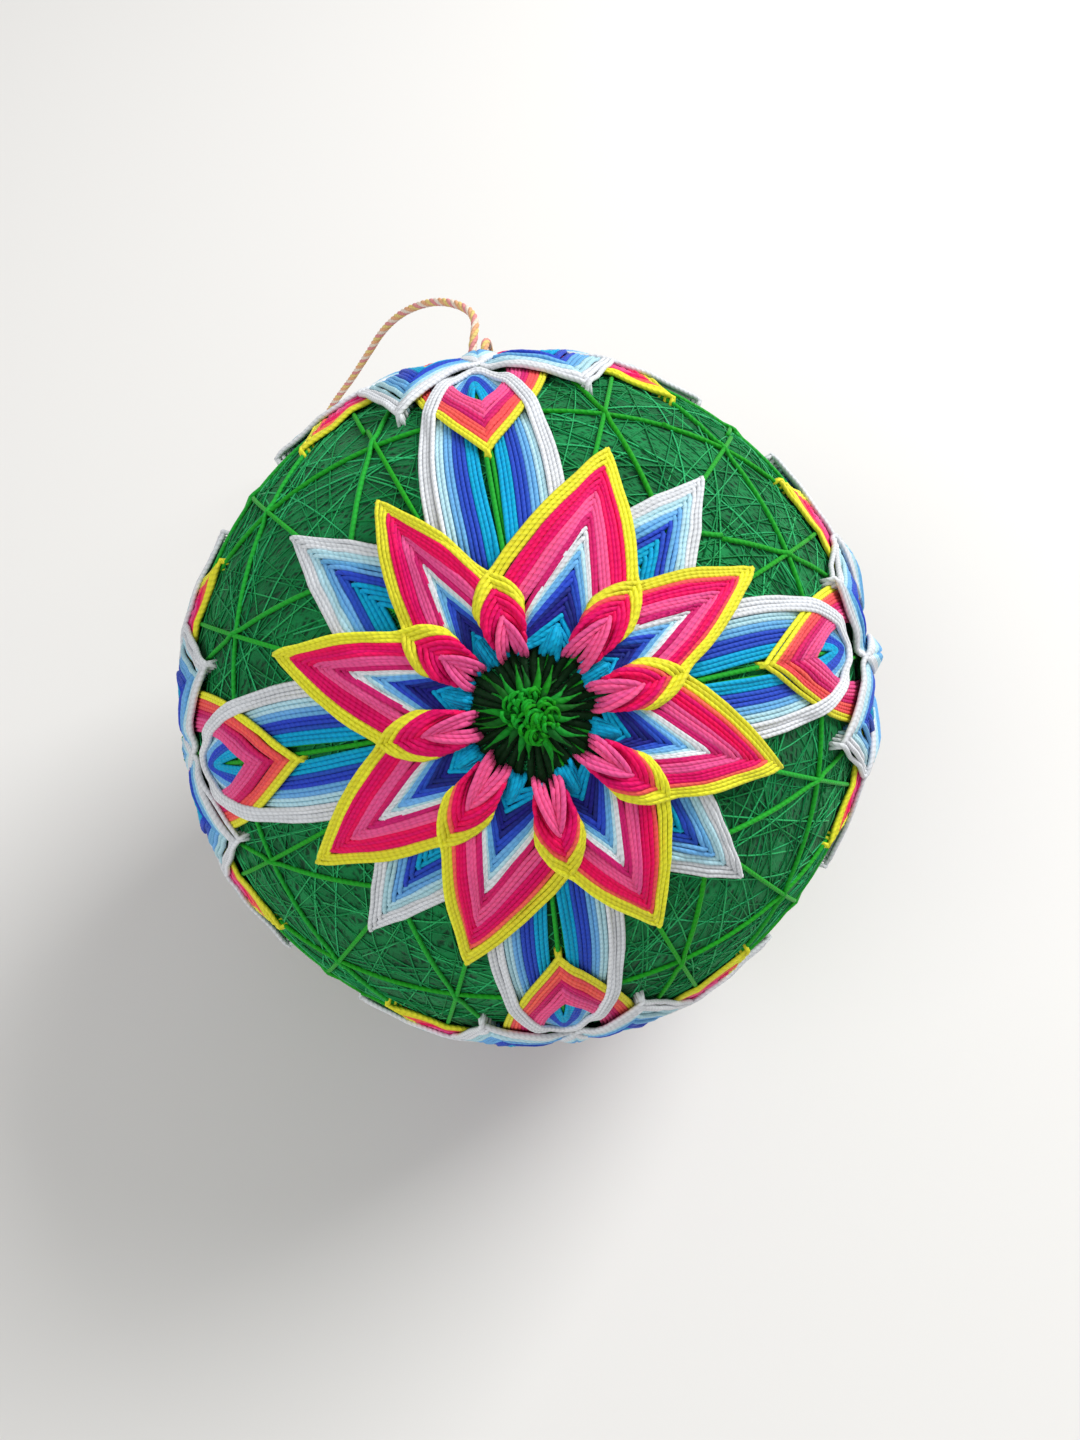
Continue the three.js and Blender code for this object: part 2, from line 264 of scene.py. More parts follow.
class Bundle:
    """The threads of one piece, and the colours that they need."""

    TWIST_START = 10       # a thread's twist begins anywhere in this length

    def __init__(self):
        self.points, self.faces, self.uvs, self.slots, self.shades = [], [], [], [], []
        self.colours = []
        self.count = 0

    def slot_of(self, colour):
        if colour not in self.colours:
            self.colours.append(colour)
        return self.colours.index(colour)

    def tube(self, points, normals, radii, colour, sides=5):
        """A closed tube along the points; its UV map runs along it in millimetres and round it."""
        n = len(points)
        along = unit(np.gradient(points, axis=0))
        up = unit(normals - (normals * along).sum(1)[:, None] * along)
        out = np.cross(along, up)
        turn = (np.arange(sides) + 0.5) / sides * 2 * math.pi
        radii = np.broadcast_to(np.asarray(radii, float), (n,))
        ring = (np.cos(turn)[None, :, None] * out[:, None]
                + np.sin(turn)[None, :, None] * up[:, None]) * radii[:, None, None]
        self.points.append((points[:, None] + ring).reshape(-1, 3) * MM)
        length = distances(points) + rng.random() * self.TWIST_START
        i, j = np.meshgrid(np.arange(n - 1), np.arange(sides), indexing="ij")
        i, j = i.ravel(), j.ravel()
        following = (j + 1) % sides
        quads = np.c_[i * sides + j, i * sides + following,
                      (i + 1) * sides + following, (i + 1) * sides + j] + self.count
        uv = np.stack([np.c_[length[i], j / sides], np.c_[length[i], (j + 1) / sides],
                       np.c_[length[i + 1], (j + 1) / sides], np.c_[length[i + 1], j / sides]],
                      axis=1)
        first_ring = np.arange(sides) + self.count
        caps = [first_ring[::-1], first_ring + (n - 1) * sides]
        cap_uv = np.zeros((sides, 2))
        cap_uv[:, 0] = length[0]
        self.faces.append((quads, caps))
        self.uvs.append((uv, cap_uv))
        self.slots.append(np.full(len(quads) + 2, self.slot_of(colour)))
        self.shades.append(np.full(n * sides, rng.random()))
        self.count += n * sides

    def solid(self, points, faces, colour):
        """A closed mesh of triangles, with no thread twist."""
        self.points.append(np.asarray(points) * MM)
        triangles = np.asarray(faces) + self.count
        self.faces.append((triangles, []))
        self.uvs.append((np.zeros((len(triangles), 3, 2)), None))
        self.slots.append(np.full(len(triangles), self.slot_of(colour)))
        self.shades.append(np.full(len(points), 0.5))
        self.count += len(points)

    def build(self, name):
        """The piece itself, a mesh that rides on the part's body."""
        loops, totals, uvs = [], [], []
        for (polygons, caps), (uv, cap_uv) in zip(self.faces, self.uvs):
            loops.append(polygons.ravel())
            totals.append(np.full(len(polygons), polygons.shape[1]))
            uvs.append(uv.reshape(-1, 2))
            for cap in caps:
                loops.append(cap)
                totals.append([len(cap)])
                uvs.append(cap_uv)
        points = np.concatenate(self.points)
        loops = np.concatenate(loops)
        totals = np.concatenate(totals)
        starts = np.r_[0, np.cumsum(totals)[:-1]]
        mesh = bpy.data.meshes.new(name)
        mesh.vertices.add(len(points))
        mesh.vertices.foreach_set("co", points.astype(np.float32).ravel())
        mesh.loops.add(len(loops))
        mesh.loops.foreach_set("vertex_index", loops.astype(np.int32))
        mesh.polygons.add(len(totals))
        mesh.polygons.foreach_set("loop_start", starts.astype(np.int32))
        mesh.polygons.foreach_set("material_index", np.concatenate(self.slots).astype(np.int32))
        mesh.polygons.foreach_set("use_smooth", np.ones(len(totals), bool))
        layer = mesh.uv_layers.new(name="turns")
        layer.data.foreach_set("uv", np.concatenate(uvs).astype(np.float32).ravel())
        shade = mesh.attributes.new("shade", "FLOAT", "POINT")
        shade.data.foreach_set("value", np.concatenate(self.shades).astype(np.float32))
        mesh.update(calc_edges=True)
        mesh.validate()
        for colour in self.colours:
            mesh.materials.append(material_of(colour))
        piece = bpy.data.objects.new(name, mesh)
        bpy.context.scene.collection.objects.link(piece)
        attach(piece, "root")
        return piece


# Materials

# Thread colours, in linear light
THREADS = {
    "lemon": (0.76, 0.73, 0.03),
    "coral": (0.86, 0.10, 0.09),
    "crimson": (0.77, 0.003, 0.112),
    "light_pink": (0.80, 0.09, 0.27),
    "rose": (0.60, 0.013, 0.14),
    "white": (0.68, 0.70, 0.73),
    "aqua": (0.42, 0.66, 0.74),
    "sky": (0.14, 0.40, 0.72),
    "royal": (0.022, 0.07, 0.50),
    "navy": (0.012, 0.018, 0.20),
    "turquoise": (0.001, 0.36, 0.62),
    "guide": (0.012, 0.34, 0.02),
    "knot": (0.006, 0.30, 0.012),
    # dark green thread, near black as painted shade in the hollow under the spikes
    "spike": (0.002, 0.10, 0.008),
    "spike_painted_shade": (0.001, 0.022, 0.003),
    "spike_light": (0.004, 0.22, 0.012),
    "strand": (0.006, 0.24, 0.065),
    "strand_light": (0.025, 0.42, 0.13),
    "cord_yellow": (0.78, 0.60, 0.20),
    "cord_pink": (0.78, 0.32, 0.30),
    "cord_white": (0.80, 0.68, 0.56),
    "cord_orange": (0.78, 0.42, 0.22),
}
# The darker green is painted shade in the gaps between the wrap's fibres, the lighter one the
# fibres' own green
WRAP_GAP_SHADE, WRAP_LIGHT = (0.001, 0.045, 0.014, 1), (0.006, 0.22, 0.06, 1)


class Paint:
    """A material and short ways to build its nodes."""

    def __init__(self, name, **inputs):
        self.material = bpy.data.materials.new(name)
        self.material.use_nodes = True
        self.tree = self.material.node_tree
        self.shader = self.tree.nodes["Principled BSDF"]
        self.feed(self.shader, inputs)

    def feed(self, made, inputs):
        """Gives a node's inputs a value each, or another node's output."""
        for key, value in inputs.items():
            socket = made.inputs[key.replace("_", " ") if isinstance(key, str) else key]
            if isinstance(value, bpy.types.NodeSocket):
                self.tree.links.new(value, socket)
            else:
                socket.default_value = value

    def node(self, kind, settings=None, **inputs):
        made = self.tree.nodes.new("ShaderNode" + kind)
        for key, value in (settings or {}).items():
            setattr(made, key, value)
        self.feed(made, inputs)
        return made

    def maths(self, operation, *values):
        made = self.node("Math", {"operation": operation})
        self.feed(made, dict(enumerate(values)))
        return made.outputs[0]

    def finish(self, colour, bump):
        """Joins the last two nodes to the shader."""
        self.feed(self.shader, {"Base Color": colour.outputs[0], "Normal": bump.outputs[0]})
        return self.material


def thread_material(name, colour):
    """A twisted cotton thread: two plies round each other, with fine fibres and a soft lustre."""
    fine = name.startswith("strand")
    pitch = 0.5 if fine else 0.72      # length of one turn of a ply
    paint = Paint("thread_" + name, Roughness=0.62, Sheen_Weight=0.04, Sheen_Roughness=0.45,
                  Specular_IOR_Level=0.12 if colour[1] < 0.5 else 0.2)
    maths = paint.maths
    turns = paint.node("UVMap", {"uv_map": "turns"})
    split = paint.node("SeparateXYZ", Vector=turns.outputs[0])
    phase = maths("ADD", maths("DIVIDE", split.outputs[0], pitch),
                  maths("MULTIPLY", split.outputs[1], 2.0))
    ply = maths("ABSOLUTE", maths("SINE", maths("MULTIPLY", phase, math.pi)))
    where = paint.node("TexCoord").outputs["Object"]
    fibre = paint.node("TexNoise", Scale=5200, Detail=2, Vector=where).outputs["Fac"]
    patch = paint.node("TexNoise", Scale=420, Detail=2, Vector=where).outputs["Fac"]
    shade = paint.node("Attribute", {"attribute_name": "shade"}).outputs["Fac"]
    # Painted shade and highlight: darker in the grooves between the plies, a little lighter on
    # their crowns;
    # and a little different from thread to thread and from place to place
    painted_ply_shade = maths("MULTIPLY_ADD", maths("POWER", ply, 0.7), 0.2, 0.86)
    varied = maths("MULTIPLY", painted_ply_shade, maths("MULTIPLY_ADD", shade, 0.16, 0.90))
    value = maths("MULTIPLY", varied, maths("MULTIPLY_ADD", patch, 0.22, 0.89))
    hue = maths("MULTIPLY_ADD", shade, 0.012, 0.494)
    tint = paint.node("HueSaturation", Color=(*colour, 1), Value=value, Hue=hue)
    height = maths("ADD", ply, maths("MULTIPLY", fibre, 0.35))
    bump = paint.node("Bump", Strength=0.75, Distance=0.00002 if fine else 0.00005, Height=height)
    return paint.finish(tint, bump)


def wrap_material():
    """The ball's own wrap: fine green sewing thread wound at random, seen as crossing fibres, with
    painted shade in the gaps between them.
    """
    paint = Paint("wound_wrap", Roughness=0.8, Sheen_Weight=0.04, Specular_IOR_Level=0.15)
    where = paint.node("TexCoord").outputs["Object"]
    total = None
    layer_turns = ((0.3, 0.2, 0.9), (1.2, 0.5, 2.2), (2.1, 1.4, 0.4), (0.8, 2.3, 1.5))
    for index, turn in enumerate(layer_turns):
        mapping = paint.node("Mapping", Rotation=turn, Vector=where)
        wave = paint.node("TexWave", Scale=330 + 40 * index, Distortion=5, Detail=2,
                          Detail_Scale=1.6, Vector=mapping.outputs[0])
        layer = wave.outputs["Fac"]
        total = layer if total is None else paint.maths("MAXIMUM", total, layer)
    patch = paint.node("TexNoise", Scale=160, Detail=4, Vector=where)
    fibres_and_gap_shade = paint.maths("MULTIPLY", total, patch.outputs["Fac"])
    # Dark where the fibres lie low: painted shade in the gaps; the noise patches vary it at random
    ramp = paint.node("ValToRGB", Fac=fibres_and_gap_shade)
    for stop, position, colour in zip(ramp.color_ramp.elements, (0.2, 0.62),
                                      (WRAP_GAP_SHADE, WRAP_LIGHT)):
        stop.position = position
        stop.color = colour
    bump = paint.node("Bump", Strength=0.8, Distance=0.0003, Height=total)
    return paint.finish(ramp, bump)


materials = {}


def material_of(colour):
    if colour not in materials:
        materials[colour] = (wrap_material() if colour == "wrap"
                             else thread_material(colour, THREADS[colour]))
    return materials[colour]


# Laying one thread

STEP = 0.33                # degrees between the points where a thread's height is found
ON_TOP = 0.8               # its middle over what is under it, as a share of its radius
SINK = 1.3                 # how much lower that share is on a pile
SINK_FROM, SINK_TO = 0.55, 1.9     # heights of what is under it where it starts and stops sinking
FEEL = 1.6                 # how wide it feels the ground, as a share of its radius
SOFTEN = np.array([1, 3, 5, 6, 5, 3, 1]) / 24      # evens its heights out, twice
DEEP, NARROW = 0.3, 0.75   # how deep an end goes in, and how thin it gets there
STRAIGHT = 0.04            # points that are less than this off a straight line are left out


def lay(bundle, colour, pole, keys, radius=THREAD, dive=(True, True), slope=0.5, fall=0.75,
        pile=None, most=None):
    """Lays a thread along a curve on a pole's map, over all that lies there already.

    It rises and falls no faster than the slope, and no higher over the ground than most. An end
    that dives goes in within the distance fall. A pile gives other heights, and where they count.
    """
    flat = curve(keys, STEP)
    d = pole.at(flat)
    away = distances(d) * BALL
    base = relief.under(d, radius)
    ground = relief.under(d, FEEL * radius, ground=True)
    h = base + radius * (ON_TOP - SINK * smooth(SINK_FROM, SINK_TO, base))
    if most is not None:
        h = np.clip(h, ground, ground + most)
    ahead = np.maximum.accumulate(h + slope * away) - slope * away
    behind = np.maximum.accumulate((h - slope * away)[::-1])[::-1] + slope * away
    h = np.maximum(ahead, behind)
    if pile:
        piled, inside = pile(flat, base, ground)
        h = h * (1 - inside) + piled * inside
    for _ in range(2):
        h = np.convolve(np.pad(h, 3, mode="edge"), SOFTEN, mode="valid")
    size = np.full(len(h), radius)
    for goes_in, distance in zip(dive, (away, away[-1] - away)):
        if goes_in:
            t = smooth(0.0, fall, distance)
            h = -DEEP + (h + DEEP) * t
            size = size * (NARROW + (1 - NARROW) * t)
    relief.add(d, h, radius)
    points = place(d, h, radius)
    keep = thin(points, STRAIGHT)
    bundle.tube(points[keep], d[keep], size[keep], colour)


# The rows of each part, from the inside out

def rows(*runs):
    return [colour for colour, count in runs for _ in range(count)]


PINK_ROWS = rows(("turquoise", 3), ("navy", 3), ("royal", 2), ("sky", 2), ("aqua", 1), ("white", 2),
                 ("rose", 2), ("light_pink", 3), ("crimson", 3), ("coral", 1), ("lemon", 3))
BLUE_ROWS = rows(("rose", 4), ("light_pink", 3), ("crimson", 3), ("coral", 2), ("lemon", 2),
                 ("turquoise", 4), ("royal", 4), ("sky", 3), ("aqua", 2), ("white", 3))
OVAL_ROWS = rows(("turquoise", 3), ("royal", 3), ("sky", 2), ("aqua", 2), ("white", 4))
DIAGONAL_ROWS = rows(("turquoise", 4), ("royal", 2), ("sky", 2), ("aqua", 2), ("white", 3))
SIDE_ROWS = rows(("rose", 4), ("light_pink", 3), ("crimson", 2), ("coral", 2), ("lemon", 3))
CHEVRON_ROWS = rows(("light_pink", 4), ("rose", 2), ("coral", 3), ("lemon", 2))
PITCH = 0.65               # degrees from one row of a pointed petal to the next
TAIL_OUT, TAIL_ASIDE = 0.62, 0.5   # how far a row runs on past a petal's tip


# The flowers' piles of crossed rows between the petals

USUAL_FAR = 20.2           # the outermost crossing's distance that these numbers are made for
# For the rows that show on the pile, from the innermost: how far inside the outermost crossing
# they cross, where the needle goes in, and how far aside
CROSS_BACK = [7.8, 7.1, 6.3, 5.3, 4.5, 3.7, 2.8, 1.8, 1.0, 0.2]
NEEDLE_ALONG = [8.1, 7.5, 7.2, 8.9, 9.7, 10.6, 11.6, 12.3, 12.8, 13.2]
NEEDLE_ASIDE = [0.5, 1.08, 1.62, 1.95, 2.12, 2.3, 2.45, 2.6, 2.72, 2.85]
# From the needle's hole, at 1, towards the crossing, at 0: how far aside a row lies there, as a
# share, once for the bowed rows and once for the straighter ones nearer to the middle
BOWED = ((1, 0.9, 1), (0.83, 1, 0.92), (0.57, 0.87, 0.68), (0.27, 0.52, 0.38))
# The rows hidden in the pile: where the first one crosses, how far short of the rows that show
# they stop, and how far aside they end
BURIED_FROM, BURIED_SHORT, BURIED_ASIDE = 8.5, 0.5, 0.35
FIRST_TIP = 9.8            # distance of the innermost row's tip
STUB_TURNS = (-9, 9, -5.4, 5.4, -1.8, 1.8)     # short threads that fill a petal's inner end
THICKER = 1.17             # the blue flowers' thread, as a share of the usual one
PASSING = 0.35             # within this of a valley's middle a row passes over its fellow
DIP = 0.3                  # how much lower it lies before it passes
PRESSED = 0.35             # a row's middle over what is under it, as a share of a thread's radius
HIDDEN = 0.7               # how far under the top threads the hidden rows lie
PILE_ASIDE = (2.8, 4.1)    # the pile fades out between these distances from the valley's middle
PILE_PAST = (1.2, 3.2)     # and between these distances past a row's crossing


def dome(along, aside):
    """Height of the top threads where rows cross between two petals, at the usual distances."""
    edge, ridge, half_width, outward = 0.55, 1.75, 2.5, (14.5, 21.5)
    return edge + ridge * np.exp(-(aside / half_width) ** 2) * (1 - 0.72 * smooth(*outward, along))


def pile_of(row, side, turn, cross, scale, rise):
    """The heights of a row on the pile, and where they count. A row under 0 is a hidden one."""

    def pile(flat, base, ground):
        q = turned(flat, -turn)
        past = smooth(-PASSING, PASSING, -side * q[:, 1])
        h = rise * dome(q[:, 0] / scale, q[:, 1])
        # Never lower than a little over the ground, and row by row a little higher
        if row >= 0:
            h = np.clip(base + PRESSED * THREAD, h, h + 0.35 + 0.55 * rise) - DIP * (1 - past)
            h = np.maximum(h, ground + 0.08 + 0.03 * row + 0.15 * past)
        else:
            h = np.maximum(h - HIDDEN, ground + 0.05)
        near, beyond = (cross + distance for distance in PILE_PAST)
        inside = (1 - smooth(*PILE_ASIDE, np.abs(q[:, 1]))) * (1 - smooth(near, beyond, q[:, 0]))
        return h, inside

    return pile


def inner_end(i, buried, side, far, start):
    """The inner end of a flower's row, as (along, aside) of its valley, and where it crosses."""
    scale = far / USUAL_FAR
    if i < buried:
        way = far - CROSS_BACK[0] - (BURIED_FROM + BURIED_SHORT) * scale
        cross = BURIED_FROM * scale + way * i / buried
        return [(cross, side * BURIED_ASIDE)], cross
    row = i - buried
    cross = far - CROSS_BACK[row] + jitter(0.04)
    along = NEEDLE_ALONG[row] * scale + start + jitter(0.12)
    aside = NEEDLE_ASIDE[row] + jitter(0.04)
    bow = min(row / 3, 1)
    keys = [(cross - part * (cross - along), -side * aside * (bowed * bow + straighter * (1 - bow)))
            for part, bowed, straighter in BOWED]
    return keys + [(cross, 0)], cross


def outer_end(start, tip, side, share):
    """The arm of a flower's row from its crossing to past the petal's tip, bulging a little."""
    line = tip - start
    normal = np.array([line[1], -line[0]]) / np.linalg.norm(line)
    normal *= np.sign(normal @ start)
    out = tip / np.linalg.norm(tip)
    across = np.array([-out[1], out[0]]) * side
    bulge = (0.2 + 0.42 * share) * np.linalg.norm(line) / 20
    return [start + 0.42 * line + normal * bulge, start + 0.75 * line + normal * bulge * 0.62,
            tip, tip + out * TAIL_OUT + across * TAIL_ASIDE]


def top_flower(bundle, pole, colours, tips, crossings, warm=(), rise=1.0):
    """Eight petals stitched round and round, each row outside the last, crossing between them.

    Only the warm petals have a coral row, in a flower that has any. Rise is the height of the
    piles, as a share of the front flower's.
    """
    last = len(colours) - 1
    buried = len(colours) - len(NEEDLE_ALONG)
    starts = [jitter(0.4) for _ in crossings]
    relief.settle()
    radius = THREAD if warm else THICKER * THREAD
    if warm:
        for _, azimuth in tips:
            for turn in STUB_TURNS:
                keys = [polar(7.4 + jitter(0.2), azimuth + turn), polar(9.2, azimuth + turn * 0.6),
                        polar(11.2, azimuth + turn * 0.25)]
                lay(bundle, colours[0], pole, keys, fall=0.4)
    for i, name in enumerate(colours):
        share = i / last
        points = [polar(FIRST_TIP + (reach - FIRST_TIP) * share + jitter(0.06),
                        azimuth + jitter(0.12)) for reach, azimuth in tips]
        for k, tip in enumerate(points):
            colour = "crimson" if name == "coral" and warm and k not in warm else name
            for side in (1, -1):
                # Side 1 is the arm that comes from the valley before the petal
                valley = k if side == 1 else (k + 1) % 8
                far, turn = crossings[valley]
                inner, cross = inner_end(i, buried, side, far, starts[valley])
                inner = turned(inner, turn)
                keys = [*inner, *outer_end(inner[-1], tip, side, share)]
                pile = pile_of(i - buried, side, turn, cross, far / USUAL_FAR, rise)
                lay(bundle, colour, pole, keys, radius, slope=0.14, fall=0.45, pile=pile,
                    most=0.26 + (0.012 + 0.024 * rise) * i)


# The underlays' petals and ovals

ARM_STOPS = np.array([-0.35, 0.15, 1.5, 3.5, 6.5, 10, 14, 19, 25, 31])     # back from a row's point
WAIST, SHOULDER = 19, 34   # between them an oval widens, and past the shoulder it rounds off
OVAL_SWEEP = np.radians([0, 12, 24, 36, 48, 58, 67, 75, 82, 86.5])     # round from the shoulder
OVAL_INNER, OVAL_PITCH = 1.45, 0.625   # half of the innermost row's width, and from row to row


def pointed_petal(bundle, pole, axis, tip, slope, width, base, colours):
    """One petal of an underlay: rows of two straight arms that cross at its point.

    Slope is how fast an arm leaves the petal's middle at the point, width how far from the middle
    the outermost arm gets, and base where the arms end.
    """
    relief.settle()
    pitch = PITCH / math.sin(math.atan(slope))
    for i, colour in enumerate(colours):
        inside = len(colours) - 1 - i
        point = tip - pitch * inside + jitter(0.08)
        half = max(width - PITCH * inside, 0.6)
        for side in (1, -1):
            a = point - ARM_STOPS
            a = a[a > base + 1.5]
            aside = half * np.tanh(slope * (point - a) / half)
            keys = [(point + TAIL_OUT, -side * TAIL_ASIDE)]
            keys += [(x, side * y) for x, y in zip(a[1:], aside[1:])]
            keys.append((base, keys[-1][1] * 0.92))
            lay(bundle, colour, pole, turned(keys, axis), dive=(True, False), slope=0.25,
                fall=0.5, most=0.4)


def oval_half(a, half, end):
    """Half of an oval row's width at each distance."""
    s = np.clip((a - SHOULDER) / (end - SHOULDER), 0, 1)
    return np.where(a > SHOULDER, half * (1 - s**2.2) ** 0.62,
                    half - 0.7 * (1 - smooth(WAIST, SHOULDER, a)))


def oval(bundle, pole, axis, end, colours, first=0, step=0.8):
    """A long petal of rows that run out, round its far end and back; step is their pitch there.

    It starts with row number first.
    """
    relief.settle()
    for i in range(first, len(colours)):
        half = OVAL_INNER + OVAL_PITCH * i + jitter(0.03)
        stop = end - step * (len(colours) - 1 - i)
        a = SHOULDER + (stop - SHOULDER) * np.sin(OVAL_SWEEP)
        a = np.r_[18, 23, 28, a]
        aside = oval_half(a, half, stop)
        keys = [*zip(a, aside), (stop, 0.0), *zip(a[::-1], -aside[::-1])]
        lay(bundle, colours[i], pole, turned(keys, axis), dive=(False, False), slope=0.3, most=0.2)


# Guide threads: the division's great circles

GUIDE = 0.28               # their radius
GUIDE_LIFT = 0.06          # their middle over what is under them
guides = Bundle()
whole = [POLES["front"], POLES["top"], POLES["right"]]
circle_axes = [p.direction for p in whole]
for a, b in ((0, 1), (1, 2), (2, 0)):
    for sign in (1, -1):
        circle_axes.append(unit(circle_axes[a] + sign * circle_axes[b]))
for a, b in ((1, 2), (2, 0), (0, 1)):
    for angle in (22.5, 67.5, 112.5, 157.5):
        t = math.radians(angle)
        circle_axes.append(math.cos(t) * whole[a].direction + math.sin(t) * whole[b].direction)
for axis in circle_axes:
    start = unit(np.cross(axis, [0.3, 0.5, 0.81]))
    for middle in (0, 180):
        span = curve([(middle + angle, jitter(0.15)) for angle in (-90, 0, 90)], STEP)
        t = np.radians(span[:, 0])[:, None]
        d = unit(np.cos(t) * start + np.sin(t) * np.cross(axis, start)
                 + np.radians(span[:, 1])[:, None] * axis)
        h = relief.under(d, GUIDE) + GUIDE_LIFT
        h = np.convolve(np.pad(h, 3, mode="edge"), np.ones(7) / 7, mode="valid")
        relief.add(d, h, GUIDE)
        points = place(d, h, GUIDE)
        keep = thin(points, 0.03)
        guides.tube(points[keep], d[keep], GUIDE, "guide", 6)
guide_piece = guides.build("guide_threads")

# Underlays, the chevrons between their rows, and the flowers over them. On the front flower
# azimuth 90 is on the photo's left.

OVAL_AXES, DIAGONAL_AXES = (0, 90, 180, 270), (45, 135, 225, 315)
# An oval's far end without its white rows, and how far it is turned from its axis
OVALS = {("front", 0): (59.0, 1.3), ("front", 90): (57.0, 2.0), ("front", 180): (58.5, -2.0),
         ("front", 270): (55.6, 2.3)}
USUAL_OVAL = (58.0, 0.0)
WHITE_PAST = 1.8           # how far the white rows pass that end
# A diagonal petal's tip as (distance, azimuth)
DIAGONAL_TIP = {("front", 45): (42.9, 45.8), ("front", 135): (39.3, 135.6),
                ("front", 225): (39.5, 223.3), ("front", 315): (42.1, 314.9)}
white_from = OVAL_ROWS.index("white")
underlays = {name: Bundle() for name in POLES}
for name in PINK_POLES:
    for axis in OVAL_AXES:
        end, turn = OVALS.get((name, axis), USUAL_OVAL)
        along = turned([(16, 0), (30, 0.1), (end - 2, 0)], axis + turn)
        lay(underlays[name], "guide", POLES[name], along)
        oval(underlays[name], POLES[name], axis + turn, end, OVAL_ROWS[:white_from])
# Each chevron's side pole and its axis there; then its tip's distance, and its turn from the axis
CHEVRONS = {
    "chevron_front_1": ("top", 0), "chevron_front_2": ("left", 0),
    "chevron_front_3": ("low", 0), "chevron_front_4": ("right", 0),
    "chevron_back_1": ("top", 180), "chevron_back_2": ("right", 180),
    "chevron_back_3": ("low", 180), "chevron_back_4": ("left", 180),
}
CHEVRON_TIP = {"chevron_front_1": (54.2, -0.8), "chevron_front_2": (58.4, -2.2),
               "chevron_front_3": (55.5, 1.2), "chevron_front_4": (57.6, -1.8)}
for node, (name, axis) in CHEVRONS.items():
    bundle = Bundle()
    tip, turn = CHEVRON_TIP.get(node, (56.0, 0.0))
    pointed_petal(bundle, POLES[name], axis + turn, tip, slope=0.8, width=11.5, base=24,
                  colours=CHEVRON_ROWS)
    piece = bundle.build(node + "_threads")
    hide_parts(node)
for name in PINK_POLES:
    for axis in OVAL_AXES:
        end, turn = OVALS.get((name, axis), USUAL_OVAL)
        oval(underlays[name], POLES[name], axis + turn, end + WHITE_PAST, OVAL_ROWS,
             first=white_from, step=1.0)
    for axis in DIAGONAL_AXES:
        reach, azimuth = DIAGONAL_TIP.get((name, axis), (42.0, axis))
        pointed_petal(underlays[name], POLES[name], azimuth, reach, slope=0.44, width=16, base=14,
                      colours=DIAGONAL_ROWS)
for name in BLUE_POLES:
    for axis in (45, 90, 135, 225, 270, 315):
        reach = 43.0 if axis % 90 else 41.0
        pointed_petal(underlays[name], POLES[name], axis, reach, slope=0.66, width=14, base=22,
                      colours=SIDE_ROWS)
for name, bundle in underlays.items():
    piece = bundle.build(f"underlay_{name}_threads")
    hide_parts(f"underlay_{name}")

# The front flower's tips and crossings as (distance, azimuth), from the first petal past azimuth 0
# and the crossing before it
FRONT_TIPS = [(34.5, 27.8), (35.4, 69.2), (35.9, 117.1), (36.2, 157.6), (34.3, 202.8),
              (35.3, 249.2), (36.1, 294.3), (37.4, 335.1)]
FRONT_CROSSINGS = [(17.7, 8.8), (18.4, 49.1), (19.0, 93.0), (19.5, 137.5), (20.8, 184.7),
                   (19.9, 230.1), (19.6, 276.3), (20.6, 312.5)]
WARM_PETALS = (3, 4, 5, 6)     # the pink flowers' petals with a coral row
# The other flowers' usual distances, to a tip and to a crossing
PINK_REACH, BLUE_REACH = (36.5, 19.8), (39.6, 28.3)
# The two petals of each side flower that the photo shows, its first and its last
SIDE_TIPS = {"top": ((40.5, 23.4), (42.5, 342.0)), "right": ((42.0, 17.6), (37.6, 340.9)),
             "low": ((38.8, 22.0), (39.6, 344.5)), "left": ((39.8, 20.2), (41.2, 340.5))}
# How high a side flower's piles are, as a share of the front flower's
SIDE_RISE = {"top": 0.45, "right": 0.85, "low": 0.4, "left": 0.3}
for pole in POLES.values():
    relief.raise_round(pole, inner=8.0, outer=16.0, height=0.8)
for name, pole in POLES.items():
    pink = name in PINK_POLES
    if name == "front":
        tips, crossings = FRONT_TIPS, FRONT_CROSSINGS
    else:
        reach, far = PINK_REACH if pink else BLUE_REACH
        tips = [(reach + jitter(0.4), 22.5 + 45 * k + jitter(0.8)) for k in range(8)]
        crossings = [(far + jitter(0.5), 45.0 * k + jitter(0.8)) for k in range(8)]
        if name in SIDE_TIPS:
            tips[0], tips[7] = SIDE_TIPS[name]
    bundle = Bundle()
    if pink:
        top_flower(bundle, pole, PINK_ROWS, tips, crossings, WARM_PETALS)
    else:
        top_flower(bundle, pole, BLUE_ROWS, tips, crossings, rise=SIDE_RISE[name])
    piece = bundle.build(f"flower_{name}_threads")
    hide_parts(f"flower_{name}")

# Centres: dark threads, their near-black green being painted shade under the spikes; green spikes
# between the ends of the petals' rows; and a curly knot in the middle

SHADE_THREADS, SPIKES, CURLS = 36, 24, 44


def add_painted_shade_threads(bundle, pole):
    for k in range(SHADE_THREADS):
        azimuth = k * 360 / SHADE_THREADS + jitter(1.5)
        d = pole.at(curve([polar(0.6, azimuth), polar(8.4 + jitter(0.3), azimuth)], 0.8))
        h = np.linspace(1.1, 0.15, len(d))
        # Near black: painted shade in the hollow round the knot, under the spikes
        bundle.tube(place(d, h, 0.3), d, np.linspace(0.2, 0.5, len(d)), "spike_painted_shade")


